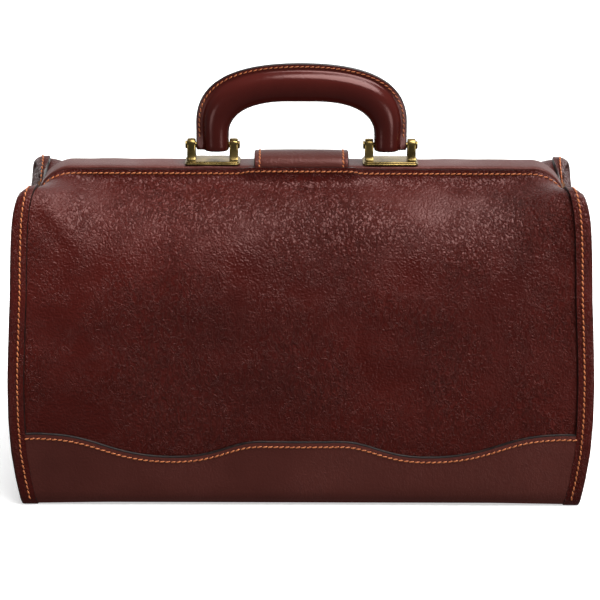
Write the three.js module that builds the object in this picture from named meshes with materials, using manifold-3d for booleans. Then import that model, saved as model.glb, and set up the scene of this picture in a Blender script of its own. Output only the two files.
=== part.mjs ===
// Leather doctor bag: a hinged steel mouth frame, soft leather walls, a swinging grip handle,
// and a strap that closes over the front on a small brass lock.
// Millimetres. X runs along the bag, the front (lock side) faces +Y, Z is up.
// The origin is on the underside, at the middle of the base.

import * as THREE from "three";
import { mergeVertices } from "three/addons/utils/BufferGeometryUtils.js";
import Module from "manifold-3d";

const wasm = await Module();
wasm.setup();

// ---------- driving dimensions ----------

const gap = 0.3; // clearance left between neighbouring pieces

const leather = 2.0; // thickness of the wall leather
const liningCloth = 0.9;
const wallTopHeight = 140; // the firm part of the long walls ends here, the soft shoulder starts
const hingeHeight = 150; // axis of the mouth frame
const openLine = hingeHeight - 2; // the end walls are one sheet below this height, two folds above

const baseHalfLength = 196;
const baseHalfDepth = 95;
const boardThickness = 2.5;

const endWallX = 202; // inner face of the end walls
const lapWidth = 12; // how far the end leather laps over the long walls

const frameTop = 227;
const frameHalfLength = 191;
const frameHalfDepth = 12;
const frameCornerRadius = 26;
const armBottom = 160; // the wrapped arms stop here, and bare hinge ears carry on
const frameSkin = 2.2; // leather wrapped round the frame
const barHeight = 7; // height of the steel bars of the frame
const hingeEarRadius = 7;
const hingeRivetRadius = 2.5;

const handleHalfSpan = 76; // outer edge of the handle's stitched flange
const handleLegCentre = 64.2;
const handleTop = 300;
const gripUnderside = 272.3;
const gripHalfDepth = 10;
const legBottom = 236.8;
const pinHeight = 240;
const pinRadius = 2.1;
const flangeWidth = 3.6;
const flangeHalfThickness = 1.6;

const bracketPlate = { halfLength: 20, halfDepth: 11, thickness: 2.2, corner: 3 };
const lugThickness = 6;
const lugInner = 12.2;
const lugBarrelRadius = 4.5;

const strapHalfWidth = 34;
const strapTipHalfWidth = 22;
const strapThickness = 3;

const lockTilt = THREE.MathUtils.degToRad(12); // lean of the wall behind the lock
const lockCentre = { y: 88.05, z: 120 };

// ---------- materials ----------

function material(color, roughness, metalness = 0) {
  return new THREE.MeshStandardMaterial({ color, roughness, metalness });
}

const wallLeather = material(0x5a2420, 0.42);
const trimLeather = material(0x4c1f1b, 0.4);
const handleLeather = material(0x47201c, 0.35);
const liningFabric = material(0x8a6a48, 0.9);
const boardFibre = material(0x6b5a45, 0.9);
const frameSteel = material(0x8d8f92, 0.35, 0.9);
const antiqueBrass = material(0x9a7b45, 0.35, 0.9);

// ---------- helpers ----------

const bag = new THREE.Group();

function place(name, geometry, surface, parent = bag) {
  const mesh = new THREE.Mesh(geometry, surface);
  mesh.name = name;
  parent.add(mesh);
  return mesh;
}

function toSolid(geometry) {
  const bare = geometry.clone();
  bare.deleteAttribute("normal");
  bare.deleteAttribute("uv");
  const merged = mergeVertices(bare);
  const vertProperties = new Float32Array(merged.attributes.position.array);
  const triVerts = new Uint32Array(merged.index.array);
  return new wasm.Manifold(new wasm.Mesh({ numProp: 3, vertProperties, triVerts }));
}

function toGeometry(solid) {
  const mesh = solid.getMesh();
  const geometry = new THREE.BufferGeometry();
  geometry.setAttribute("position", new THREE.BufferAttribute(mesh.vertProperties, 3));
  geometry.setIndex(new THREE.BufferAttribute(mesh.triVerts, 1));
  geometry.computeVertexNormals();
  return geometry;
}

function cut(geometry, tools) {
  let solid = toSolid(geometry);
  for (const tool of tools) {
    solid = solid.subtract(toSolid(tool));
  }
  return toGeometry(solid);
}

function join(pieces) {
  let solid = toSolid(pieces[0]);
  for (const piece of pieces.slice(1)) {
    solid = solid.add(toSolid(piece));
  }
  return toGeometry(solid);
}

function polygon(points) {
  return new THREE.Shape(points.map(([a, b]) => new THREE.Vector2(a, b)));
}

function extrude(shape, depth, options = {}) {
  const settings = { depth, bevelEnabled: false, curveSegments: 6, ...options };
  return new THREE.ExtrudeGeometry(shape, settings);
}

// A shape drawn in (x, z), made solid between two values of y.
function alongY(shape, yLow, yHigh, options) {
  return extrude(shape, yHigh - yLow, options).rotateX(Math.PI / 2).translate(0, yHigh, 0);
}

// A shape drawn in (y, z), made solid between two values of x.
function alongX(shape, xLow, xHigh) {
  const turn = new THREE.Matrix4().set(0, 0, 1, xLow, 1, 0, 0, 0, 0, 1, 0, 0, 0, 0, 0, 1);
  return extrude(shape, xHigh - xLow).applyMatrix4(turn);
}

// A shape drawn in (x, y), made solid between two values of z.
function alongZ(shape, zLow, zHigh) {
  return extrude(shape, zHigh - zLow).translate(0, 0, zLow);
}

function roundedRectangle(halfA, halfB, radius) {
  const shape = new THREE.Shape();
  shape.moveTo(halfA, -halfB + radius);
  shape.absarc(halfA - radius, halfB - radius, radius, 0, Math.PI / 2);
  shape.absarc(-halfA + radius, halfB - radius, radius, Math.PI / 2, Math.PI);
  shape.absarc(-halfA + radius, -halfB + radius, radius, Math.PI, 1.5 * Math.PI);
  shape.absarc(halfA - radius, -halfB + radius, radius, 1.5 * Math.PI, 2 * Math.PI);
  return shape;
}

function cylinderX(radius, xLow, xHigh, y, z, sides = 14) {
  const rod = new THREE.CylinderGeometry(radius, radius, xHigh - xLow, sides);
  return rod.rotateZ(Math.PI / 2).translate((xLow + xHigh) / 2, y, z);
}

function cylinderY(radius, yLow, yHigh, x, z, sides = 14) {
  const rod = new THREE.CylinderGeometry(radius, radius, yHigh - yLow, sides);
  return rod.translate(x, (yLow + yHigh) / 2, z);
}

function cylinderZ(radius, zLow, zHigh, x, y, sides = 12) {
  const rod = new THREE.CylinderGeometry(radius, radius, zHigh - zLow, sides);
  return rod.rotateX(Math.PI / 2).translate(x, y, (zLow + zHigh) / 2);
}

// A headed rod turned about its own Y axis: radius and length pairs, stacked upward from y = 0.
function turned(steps, sides = 12) {
  const profile = [new THREE.Vector2(0, 0)];
  let height = 0;
  for (const [radius, length] of steps) {
    profile.push(new THREE.Vector2(radius, height));
    height += length;
    profile.push(new THREE.Vector2(radius, height));
  }
  profile.push(new THREE.Vector2(0, height));
  return new THREE.LatheGeometry(profile, sides);
}

// ---------- wall profiles, as distance out from the centre plane and height ----------

function curve(points) {
  return new THREE.SplineCurve(points.map(([out, up]) => new THREE.Vector2(out, up)));
}

const lowerWall = curve([
  [97.5, leather + gap],
  [98.3, 20],
  [97, 60],
  [92.3, 100],
  [88.05, 120],
  [83.8, wallTopHeight],
]);
const shoulder = curve([
  [83.7, wallTopHeight + gap],
  [79, 154],
  [68, 176],
  [54, 194],
  [38, 206.5],
  [25, 213.2],
  [17.4, 216],
  [15, 219],
  [frameHalfDepth + gap + leather + 0.1, 222.5],
]);
const shoulderLining = curve([
  [81, wallTopHeight + gap],
  [76, 153],
  [65.2, 174],
  [51.6, 191],
  [36.4, 202.8],
  [23, 209.4],
  [17, 211.4],
]);
const earEdge = curve([
  [81.6, openLine + gap],
  [70, 179],
  [60, 199],
  [51, 213],
]);

// A sheet that follows a profile at a given distance inside it (negative is outside it).
function sheet(profile, side, inside, thickness, steps) {
  const outer = [];
  const inner = [];
  for (let i = 0; i <= steps; i += 1) {
    const point = profile.getPoint(i / steps);
    const tangent = profile.getTangent(i / steps);
    const inward = new THREE.Vector2(-tangent.y, tangent.x);
    const near = point.clone().addScaledVector(inward, inside);
    const far = point.clone().addScaledVector(inward, inside + thickness);
    outer.push([side * near.x, near.y]);
    inner.push([side * far.x, far.y]);
  }
  return polygon([...outer, ...inner.reverse()]);
}

function profilePoints(profile, side, inside, steps) {
  return profile.getPoints(steps).map((point) => [side * (point.x - inside), point.y]);
}

const liningInside = leather + gap;

// ---------- base ----------

place("base_panel", alongZ(roundedRectangle(baseHalfLength, baseHalfDepth, 6), 0, leather), wallLeather);

const boardLow = leather + gap;
const boardHigh = boardLow + boardThickness;
const board = roundedRectangle(baseHalfLength - 2, baseHalfDepth - 1, 6);
place("base_board", alongZ(board, boardLow, boardHigh), boardFibre);

const baseLiningHigh = boardHigh + gap + liningCloth;
const baseCloth = roundedRectangle(baseHalfLength - 2, baseHalfDepth - 1, 6);
place("base_lining", alongZ(baseCloth, boardHigh + gap, baseLiningHigh), liningFabric);

// ---------- long walls, their linings and the scalloped overlays ----------

const lockRivetSpots = [
  [-19.4, -14.6],
  [19.4, -14.6],
  [-19.4, 14.6],
  [19.4, 14.6],
];

function inLockFrame(geometry) {
  return geometry.rotateX(lockTilt).translate(0, lockCentre.y, lockCentre.z);
}

function longWall(side, name) {
  const length = endWallX - gap;
  let wall = alongX(sheet(lowerWall, side, 0, leather, 10), -length, length);
  if (side > 0) {
    wall = cut(wall, lockRivetSpots.map(([x, z]) => inLockFrame(cylinderY(1.3, -4, 3, x, z, 8))));
  }
  place(`${name}_panel`, wall, wallLeather);
  const soft = alongX(sheet(shoulder, side, 0, leather, 12), -length + 4, length - 4);
  place(`${name}_panel_top`, soft, wallLeather);
}

function scallopedOutline() {
  const endX = endWallX - lapWidth - gap;
  const endTop = 54.5;
  const middleTop = 49.3;
  const dip = 37.8;
  const outline = new THREE.Shape();
  outline.moveTo(-endX, leather + gap);
  outline.lineTo(endX, leather + gap);
  outline.lineTo(endX, endTop);
  outline.lineTo(172, endTop);
  outline.bezierCurveTo(146, endTop - 2, 140, dip, 100, dip);
  outline.bezierCurveTo(66, dip, 52, middleTop, 28, middleTop);
  outline.lineTo(-28, middleTop);
  outline.bezierCurveTo(-52, middleTop, -66, dip, -100, dip);
  outline.bezierCurveTo(-140, dip, -146, endTop - 2, -172, endTop);
  outline.lineTo(-endX, endTop);
  return outline;
}

const overlayInner = 98.7;
const overlayThickness = 1.6;

function wallLining(side, name) {
  const lower = sheet(lowerWall, side, liningInside, liningCloth, 8);
  const trimmed = cut(alongX(lower, -endWallX + 3, endWallX - 3), [
    new THREE.BoxGeometry(2 * endWallX, 400, 2 * (baseLiningHigh + gap)),
  ]);
  place(`${name}_lining`, trimmed, liningFabric);
  const soft = sheet(shoulderLining, side, 0, liningCloth, 10);
  place(`${name}_lining_top`, alongX(soft, -endWallX + 10, endWallX - 10), liningFabric);
}

for (const [side, name] of [[-1, "rear"], [1, "front"]]) {
  longWall(side, name);
  wallLining(side, name);
  const yLow = side > 0 ? overlayInner : -overlayInner - overlayThickness;
  place(`${name}_base_overlay`, alongY(scallopedOutline(), yLow, yLow + overlayThickness), trimLeather);
}

const pocketHalfLength = 85;
const pocketProfile = curve([[96.9, 56], [94.4, 86], [91, 105], [86.2, 130]]);
const pocketInside = liningInside + liningCloth + 2 * gap;
const pocket = sheet(pocketProfile, -1, pocketInside, 1.2, 4);
place("inner_pocket", alongX(pocket, -pocketHalfLength, pocketHalfLength), liningFabric);

// ---------- end walls ----------

function endWall(direction, name) {
  const outline = polygon([
    ...profilePoints(lowerWall, -1, -gap, 8),
    [-80.6, openLine],
    [80.6, openLine],
    ...profilePoints(lowerWall, 1, -gap, 8).reverse(),
  ]);
  const xLow = direction > 0 ? endWallX : -endWallX - leather;
  const pieces = [alongX(outline, xLow, xLow + leather)];
  for (const side of [-1, 1]) {
    const lap = sheet(lowerWall, side, -leather - gap, leather, 10);
    const lapLow = direction > 0 ? endWallX - lapWidth : -endWallX - leather;
    pieces.push(alongX(lap, lapLow, lapLow + lapWidth + leather));
  }
  place(`gusset_${name}`, join(pieces), wallLeather);
}

function endFold(direction, side, name, sideName) {
  const outline = polygon([
    [side * gap, openLine + gap],
    [side * gap, 217],
    [side * 30, 218],
    ...profilePoints(earEdge, side, 0, 6).reverse(),
  ]);
  const xLow = direction > 0 ? endWallX : -endWallX - leather;
  const wall = alongX(outline, xLow, xLow + leather);
  const lap = sheet(earEdge, side, -leather - gap, leather + 2 * gap, 6);
  const lapLow = direction > 0 ? endWallX - lapWidth : -endWallX - leather;
  const strip = alongX(lap, lapLow, lapLow + lapWidth + leather);
  place(`gusset_${name}_${sideName}_fold`, join([wall, strip]), wallLeather);
}

function endLining(direction, name) {
  const outline = polygon([
    ...profilePoints(lowerWall, -1, liningInside + 2, 6).map(([y, z]) => [y, Math.max(z, baseLiningHigh + gap)]),
    [-72, openLine - 2],
    [72, openLine - 2],
    ...profilePoints(lowerWall, 1, liningInside + 2, 6)
      .map(([y, z]) => [y, Math.max(z, baseLiningHigh + gap)])
      .reverse(),
  ]);
  const xLow = direction > 0 ? endWallX - gap - liningCloth : -endWallX + gap;
  place(`${name}_lining`, alongX(outline, xLow, xLow + liningCloth), liningFabric);
}

for (const [direction, name] of [[-1, "left"], [1, "right"]]) {
  endWall(direction, name);
  endFold(direction, -1, name, "rear");
  endFold(direction, 1, name, "front");
  endLining(direction, name);
}

// ---------- mouth frame ----------

// An arch with rounded corners: a band of the frame's outline, set in from its outer face.
function archBand(inset, band, bottom) {
  const shape = new THREE.Shape();
  const outer = frameHalfLength - inset;
  const inner = outer - band;
  const outerRadius = frameCornerRadius - inset;
  const innerRadius = outerRadius - band;
  const bend = frameTop - frameCornerRadius;
  const centre = frameHalfLength - frameCornerRadius;
  shape.moveTo(outer, bottom);
  shape.lineTo(outer, bend);
  shape.absarc(centre, bend, outerRadius, 0, Math.PI / 2);
  shape.absarc(-centre, bend, outerRadius, Math.PI / 2, Math.PI);
  shape.lineTo(-outer, bottom);
  shape.lineTo(-inner, bottom);
  shape.absarc(-centre, bend, innerRadius, Math.PI, Math.PI / 2, true);
  shape.absarc(centre, bend, innerRadius, Math.PI / 2, 0, true);
  shape.lineTo(inner, bottom);
  return shape;
}

// The hinge ear at the foot of an arm: a round eye joined to the arm's steel.
function hingeEar(side, yArmNear, yArmFar) {
  const shape = new THREE.Shape();
  const shoulderHeight = hingeHeight + Math.sqrt(hingeEarRadius ** 2 - yArmNear ** 2);
  const armTop = armBottom + 10;
  shape.moveTo(side * yArmFar, armTop);
  shape.lineTo(side * yArmFar, armBottom - 2);
  shape.lineTo(side * hingeEarRadius, hingeHeight);
  const endAngle = Math.atan2(shoulderHeight - hingeHeight, side * yArmNear);
  const startAngle = side < 0 ? Math.PI : 0;
  shape.absarc(0, hingeHeight, hingeEarRadius, startAngle, endAngle + (side < 0 ? 2 * Math.PI : 0), side > 0);
  shape.lineTo(side * yArmNear, armTop);
  const eye = new THREE.Path();
  eye.absarc(0, hingeHeight, hingeRivetRadius + 0.4, 0, 2 * Math.PI);
  shape.holes.push(eye);
  return shape;
}

const rearSteelInset = frameSkin + gap;
const rearSteelY = [-frameHalfDepth + frameSkin + gap, -1.5];
const frontInset = frameSkin + gap; // the front half closes under the rear half's wide top
const frontSteelInset = frontInset + frameSkin - 0.6 + gap;
const frontSteelY = [1.5, frameHalfDepth - frameSkin - gap];
const earPlates = { rear: [181.2, 183.2], front: [184.1, 186.1] };

const screwSpots = [-handleLegCentre - 8, -handleLegCentre + 8, handleLegCentre - 8, handleLegCentre + 8];
const screwY = (rearSteelY[0] + rearSteelY[1]) / 2;
const screwRadius = 1.6;

function screwHoles() {
  return screwSpots.map((x) => cylinderZ(screwRadius + gap, frameTop - 20, frameTop + 4, x, screwY, 10));
}

function steelHalf(side, steelInset, ySpan, plateX) {
  const bar = alongY(archBand(steelInset, barHeight, armBottom), ySpan[0], ySpan[1]);
  const near = Math.min(Math.abs(ySpan[0]), Math.abs(ySpan[1])) + 0.1;
  const far = Math.max(Math.abs(ySpan[0]), Math.abs(ySpan[1])) - 0.1;
  const ear = hingeEar(side, near, far);
  return join([bar, alongX(ear, plateX[0], plateX[1]), alongX(ear, -plateX[1], -plateX[0])]);
}

const rearSteel = steelHalf(-1, rearSteelInset, rearSteelY, earPlates.rear);
place("rear_frame_steel", cut(rearSteel, screwHoles()), frameSteel);
place("front_frame_steel", steelHalf(1, frontSteelInset, frontSteelY, earPlates.front), frameSteel);

// The wide leather-covered top of the rear half hides the front half when the bag is shut.
const rearTopBand = alongY(archBand(0, frameSkin, armBottom), -frameHalfDepth, frameHalfDepth);
const rearWallBand = alongY(archBand(0, 11, armBottom), -frameHalfDepth, -frameHalfDepth + frameSkin);
place("rear_frame_cover", cut(join([rearTopBand, rearWallBand]), screwHoles()), trimLeather);

const frontSkin = frontSteelInset - frontInset - gap;
const frontTopBand = alongY(archBand(frontInset, frontSkin, armBottom), 0.6, frameHalfDepth);
const frontWallY = [frameHalfDepth - frameSkin, frameHalfDepth];
const frontWallBand = alongY(archBand(frontInset, 10, armBottom), frontWallY[0], frontWallY[1]);
place("front_frame_cover", join([frontTopBand, frontWallBand]), trimLeather);

for (const [direction, name] of [[-1, "left"], [1, "right"]]) {
  const rivet = turned([[4.6, 1.8], [hingeRivetRadius, 6.1], [4.6, 1.2]]);
  const mesh = place(`hinge_rivet_${name}`, rivet, antiqueBrass);
  mesh.rotation.z = direction > 0 ? -Math.PI / 2 : Math.PI / 2;
  mesh.position.set(direction * (earPlates.rear[0] - 2.2), 0, hingeHeight);
}

// ---------- handle brackets, screws and pins ----------

function lugShape() {
  const plateTop = frameTop + gap + bracketPlate.thickness;
  const foot = bracketPlate.halfDepth - 2;
  const shape = new THREE.Shape();
  shape.moveTo(-foot, plateTop - 1);
  shape.lineTo(foot, plateTop - 1);
  shape.lineTo(foot, plateTop + 1);
  shape.lineTo(lugBarrelRadius, pinHeight - 1);
  shape.absarc(0, pinHeight, lugBarrelRadius, 0, Math.PI);
  shape.lineTo(-foot, plateTop + 1);
  return shape;
}

function bracket(centreX, name) {
  const low = frameTop + gap;
  const outline = roundedRectangle(bracketPlate.halfLength, bracketPlate.halfDepth, bracketPlate.corner);
  const plate = alongZ(outline, low, low + bracketPlate.thickness).translate(centreX, 0, 0);
  const lugs = [-1, 1].map((direction) => {
    const inner = centreX + direction * lugInner;
    const outer = inner + direction * lugThickness;
    return alongX(lugShape(), Math.min(inner, outer), Math.max(inner, outer));
  });
  const bore = cylinderX(pinRadius + gap, centreX - 25, centreX + 25, 0, pinHeight);
  const screws = screwSpots.map((x) => cylinderZ(screwRadius + gap, low - 1, low + 1.5, x, screwY, 10));
  place(`bracket_${name}`, cut(join([plate, ...lugs]), [bore, ...screws]), antiqueBrass);

  const pinHalf = lugInner + lugThickness + gap;
  const head = 1.2;
  const pin = turned([[pinRadius + 0.9, head], [pinRadius, 2 * pinHalf], [pinRadius + 0.9, head]]);
  const mesh = place(`handle_pin_${name}`, pin, antiqueBrass);
  mesh.rotation.z = -Math.PI / 2;
  mesh.position.set(centreX - pinHalf - head, 0, pinHeight);
}

bracket(-handleLegCentre, "left");
bracket(handleLegCentre, "right");

screwSpots.forEach((x, index) => {
  const steelUnder = frameTop - rearSteelInset - barHeight;
  const shankLength = frameTop + gap + 1.2 - steelUnder;
  const screw = turned([[3.2, 1.8], [screwRadius, shankLength]]);
  const mesh = place(`bracket_screw_${index + 1}`, screw, frameSteel);
  mesh.rotation.x = Math.PI / 2;
  mesh.position.set(x, screwY, steelUnder - 1.8 - gap);
});

// ---------- handle ----------

// The handle's arch in (x, z), with its outer and inner edges set in by the given amounts.
function handleArch(outerInset, innerInset, bottom) {
  const outer = handleHalfSpan - outerInset;
  const top = handleTop - outerInset;
  const inner = handleLegCentre - (handleHalfSpan - handleLegCentre) + innerInset;
  const under = gripUnderside + innerInset;
  const shape = new THREE.Shape();
  shape.moveTo(outer, bottom);
  shape.lineTo(outer, 256);
  shape.bezierCurveTo(outer, 285 - 0.7 * outerInset, 52 - 0.3 * outerInset, top, 0, top);
  shape.bezierCurveTo(-52 + 0.3 * outerInset, top, -outer, 285 - 0.7 * outerInset, -outer, 256);
  shape.lineTo(-outer, bottom);
  shape.lineTo(-inner, bottom);
  shape.lineTo(-inner, 248);
  shape.bezierCurveTo(-inner, 264 + innerInset, -36 - innerInset, under, -10, under);
  shape.lineTo(10, under);
  shape.bezierCurveTo(36 + innerInset, under, inner, 264 + innerInset, inner, 248);
  shape.lineTo(inner, bottom);
  return shape;
}

const edgeRound = 3.5;
const rounded = {
  bevelEnabled: true,
  bevelSize: edgeRound,
  bevelOffset: -edgeRound,
  bevelThickness: edgeRound,
  bevelSegments: 2,
  curveSegments: 8,
};
const gripFlat = gripHalfDepth - edgeRound;
const gripBody = alongY(handleArch(flangeWidth, 0, legBottom), -gripFlat, gripFlat, rounded);
const flangeBand = flangeWidth + 4;
const gripSpan = 2 * (handleHalfSpan - handleLegCentre);
const flange = alongY(
  handleArch(0, gripSpan - flangeBand, legBottom + edgeRound),
  -flangeHalfThickness,
  flangeHalfThickness,
);
const coreHalfDepth = 3;
const coreBandInset = { outer: flangeBand + 0.6, inner: 6 };
const coreRoom = alongY(
  handleArch(coreBandInset.outer - gap, coreBandInset.inner - gap, legBottom - 5),
  -coreHalfDepth - gap,
  coreHalfDepth + gap,
);
const pinBores = [-1, 1].map((direction) => {
  const centre = direction * handleLegCentre;
  return cylinderX(pinRadius + gap, centre - 16, centre + 16, 0, pinHeight);
});
place("handle_grip", cut(join([gripBody, flange]), [coreRoom, ...pinBores]), handleLeather);
const core = alongY(
  handleArch(coreBandInset.outer, coreBandInset.inner, legBottom + 0.2),
  -coreHalfDepth,
  coreHalfDepth,
);
place("handle_core", cut(core, pinBores), frameSteel);

// ---------- closing strap and its brass tongue ----------

const lockFrame = new THREE.Group();
lockFrame.position.set(0, lockCentre.y, lockCentre.z);
lockFrame.rotation.x = lockTilt;
bag.add(lockFrame);

const tongueRivetSpots = [-10, 10];
const tongueRivetHeight = 12;

function tongueRivetHoles() {
  return tongueRivetSpots.map((x) => cylinderY(1.4 + gap, 0, 12, x, tongueRivetHeight, 8));
}

// Top face of the strap, from the lock up the front, over the frame and down to the rear hem.
const strapTopFace = curve([
  [93.6, 128.3],
  [91.4, 138.6],
  [83.6, 157],
  [72, 178.6],
  [57.6, 196.8],
  [41, 210.2],
  [24.5, 220.5],
  [11.5, 232.8],
  [0, 236],
  [-10, 234],
  [-15.2, 229.2],
  [-15.6, 223.2],
]);
const strapPlan = polygon([
  [-strapHalfWidth, 250],
  [-strapHalfWidth, 221],
  [-strapTipHalfWidth, 185],
  [-strapTipHalfWidth, 136],
  [-strapTipHalfWidth + 9, 120],
  [strapTipHalfWidth - 9, 120],
  [strapTipHalfWidth, 136],
  [strapTipHalfWidth, 185],
  [strapHalfWidth, 221],
  [strapHalfWidth, 250],
]);
const strapBand = alongX(sheet(strapTopFace, 1, 0, strapThickness, 26), -strapHalfWidth, strapHalfWidth);
const strapTrim = toSolid(alongY(strapPlan, -40, 110));
const strapShape = toGeometry(toSolid(strapBand).intersect(strapTrim));
place("strap", cut(strapShape, tongueRivetHoles().map(inLockFrame)), trimLeather);

const plateFace = gap + 1.5; // outer face of the lock's back plate, out from the wall
const tongueBack = plateFace + gap;
const tongueThickness = 1.8;
const tongueOutline = roundedRectangle(16.5, 9.2, 2.5);
const tongue = alongY(tongueOutline, tongueBack, tongueBack + tongueThickness).translate(0, 0, 7.8);
place("strap_tongue", cut(tongue, tongueRivetHoles()), antiqueBrass, lockFrame);

tongueRivetSpots.forEach((x, index) => {
  const rivet = turned([[1.4, 5.4], [3, 1.2]]);
  const mesh = place(`tongue_rivet_${index + 1}`, rivet, antiqueBrass, lockFrame);
  mesh.position.set(x, tongueBack + 0.2, tongueRivetHeight);
});

// ---------- lock ----------

const lockPlate = alongY(roundedRectangle(22, 18, 4), gap, plateFace);
const plateHoles = lockRivetSpots.map(([x, z]) => cylinderY(1.3, -2, 4, x, z, 8));
place("lock_plate", cut(lockPlate, plateHoles), antiqueBrass, lockFrame);

lockRivetSpots.forEach(([x, z], index) => {
  const rivet = turned([[1, plateFace + 1.9], [1.9, 0.9]], 10);
  const mesh = place(`lock_rivet_${index + 1}`, rivet, antiqueBrass, lockFrame);
  mesh.position.set(x, -1.6, z);
});

const caseBack = plateFace + gap;
const caseFront = caseBack + 6.4;
const caseCentreZ = -9.2;
const buttonX = 8;
const buttonRadius = 3.6;
const cylinderPlace = -8;
const cylinderRadius = 4.4;

const caseBody = alongY(roundedRectangle(17, 7, 3), caseBack, caseFront).translate(0, 0, caseCentreZ);
const buttonBore = cylinderY(buttonRadius + gap, caseBack + 1.6, caseFront + 1, buttonX, caseCentreZ, 16);
const cylinderBore = cylinderY(cylinderRadius + gap, caseBack + 2.4, caseFront + 1, cylinderPlace, caseCentreZ, 16);
place("lock_case", cut(caseBody, [buttonBore, cylinderBore]), antiqueBrass, lockFrame);

const buttonHeight = 4.8;
const buttonProud = 1.6;
const button = cylinderY(buttonRadius, 0, buttonHeight, 0, 0, 16);
const buttonMesh = place("lock_button", button, antiqueBrass, lockFrame);
buttonMesh.position.set(buttonX, caseFront + buttonProud - buttonHeight, caseCentreZ);

const cylinderDepth = 4;
const keySlot = new THREE.BoxGeometry(1.2, 4, 5).translate(0, cylinderDepth, 0);
const barrel = cut(cylinderY(cylinderRadius, 0, cylinderDepth, 0, 0, 16), [keySlot]);
const barrelMesh = place("lock_cylinder", barrel, antiqueBrass, lockFrame);
barrelMesh.position.set(cylinderPlace, caseFront + 0.4 - cylinderDepth, caseCentreZ);

export default bag;
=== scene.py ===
# Looks of the leather doctor bag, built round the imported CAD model.
# Lengths are in millimetres here and become metres when a mesh is made.
# X runs along the bag, the front (lock side) faces +Y, the rear faces -Y, Z is up.

import math

import bmesh
import bpy
import numpy as np
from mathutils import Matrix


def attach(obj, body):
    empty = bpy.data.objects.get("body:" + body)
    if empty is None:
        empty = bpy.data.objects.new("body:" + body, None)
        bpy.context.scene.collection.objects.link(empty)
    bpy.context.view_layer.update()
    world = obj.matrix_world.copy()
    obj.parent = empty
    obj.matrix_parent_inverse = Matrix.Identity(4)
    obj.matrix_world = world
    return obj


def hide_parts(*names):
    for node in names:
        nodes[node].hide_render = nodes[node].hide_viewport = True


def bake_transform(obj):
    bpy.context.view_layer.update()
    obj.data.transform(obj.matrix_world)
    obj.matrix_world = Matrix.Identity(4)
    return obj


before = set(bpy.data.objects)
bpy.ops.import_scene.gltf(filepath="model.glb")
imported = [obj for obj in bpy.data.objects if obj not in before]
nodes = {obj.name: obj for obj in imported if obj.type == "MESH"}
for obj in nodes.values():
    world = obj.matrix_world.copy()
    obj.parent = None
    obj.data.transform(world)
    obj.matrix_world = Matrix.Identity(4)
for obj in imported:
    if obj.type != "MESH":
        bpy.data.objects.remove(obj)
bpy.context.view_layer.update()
MM = 0.001


# ---------- camera ----------

CAMERA_PLACE = (-0.001, -1.5, 0.615)  # metres, behind the bag and a little above it
CAMERA_TURN = (71.8, -0.15, 0.04)  # degrees: down by 18.2, with a very small roll
CAMERA_LENS = 128


def make_camera():
    data = bpy.data.cameras.new("camera")
    data.sensor_width = 36
    data.lens = CAMERA_LENS
    data.clip_start = 0.05
    camera = bpy.data.objects.new("camera", data)
    bpy.context.scene.collection.objects.link(camera)
    camera.location = CAMERA_PLACE
    camera.rotation_euler = [math.radians(a) for a in CAMERA_TURN]
    bpy.context.scene.camera = camera


make_camera()


# ---------- material helpers ----------

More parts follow.
